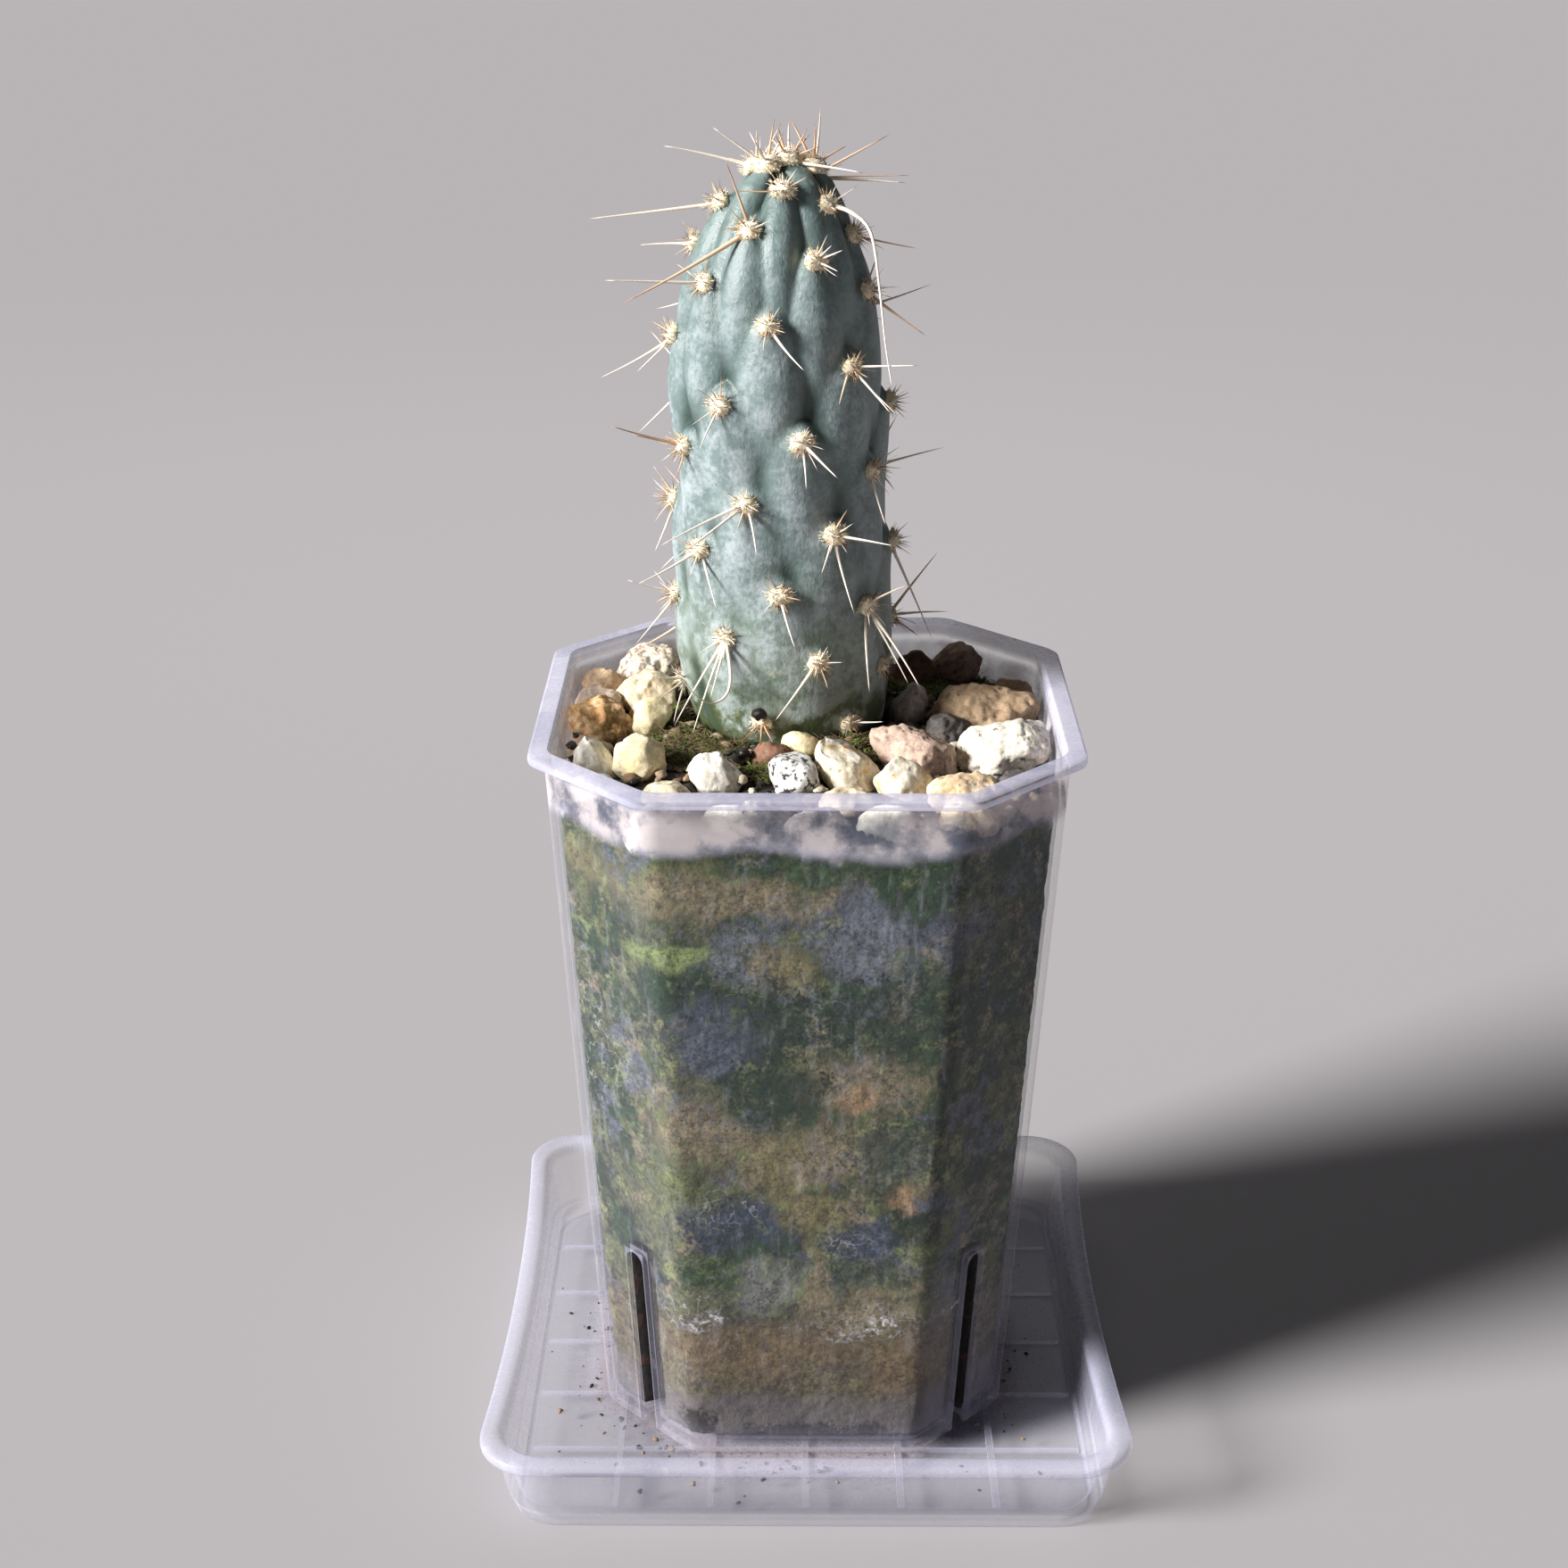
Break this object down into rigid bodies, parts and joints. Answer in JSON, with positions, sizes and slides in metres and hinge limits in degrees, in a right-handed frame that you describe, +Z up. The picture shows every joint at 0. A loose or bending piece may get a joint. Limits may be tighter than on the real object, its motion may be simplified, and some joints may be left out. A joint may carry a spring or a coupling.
{
  "type": "potted cactus",
  "caption": "Upright blue-green cactus with woolly areoles and pale spines in a clear slotted eight-sided pot on a clear square saucer, dressed with pebbles.",
  "frame": {"origin": "middle of the saucer's foot, on the surface it stands on", "axes": "+Z up; +X to the right and +Y to the back, seen from the side that shows the most spines"},
  "size_m": [0.0858, 0.0858, 0.1754],
  "materials": {
    "clear_plastic": "satin",
    "soil": "matte",
    "cactus_skin": "satin",
    "pale_stone": "matte",
    "brown_stone": "matte",
    "dark_stone": "matte"
  },
  "bodies": {
    "root": {"saucer": "clear_plastic", "pot": "clear_plastic", "substrate": "soil", "cactus": "cactus_skin", "stone_speckled_back": "pale_stone", "stone_tan_back": "brown_stone", "stone_pink_left": "pale_stone", "stone_amber_left": "brown_stone", "stone_cream_top": "pale_stone", "stone_cream_mid": "pale_stone", "stone_white_wedge": "pale_stone", "stone_cream_oval": "pale_stone", "stone_white_front": "pale_stone", "stone_red_front": "brown_stone", "stone_cream_small": "pale_stone", "stone_speckled_front": "pale_stone", "stone_white_yellow": "pale_stone", "stone_banded_brown": "brown_stone", "stone_orange_cream": "pale_stone", "stone_flat_front": "brown_stone", "stone_grey_tall": "pale_stone", "stone_dark_grey": "dark_stone", "stone_big_tan": "brown_stone", "stone_big_white": "pale_stone", "stone_dark_edge": "dark_stone", "stone_brown_back": "brown_stone", "stone_olive_back": "brown_stone", "stone_back_left": "pale_stone", "stone_back_middle": "pale_stone", "stone_back_pale": "pale_stone", "stone_left_behind": "brown_stone", "stone_wall_left": "pale_stone", "stone_wall_front_a": "pale_stone", "stone_wall_front_b": "brown_stone", "stone_wall_front_c": "pale_stone", "stone_wall_front_d": "pale_stone", "stone_wall_front_e": "pale_stone", "stone_wall_front_f": "pale_stone", "stone_wall_front_g": "brown_stone", "stone_right_back": "brown_stone"}
  },
  "joints": []
}
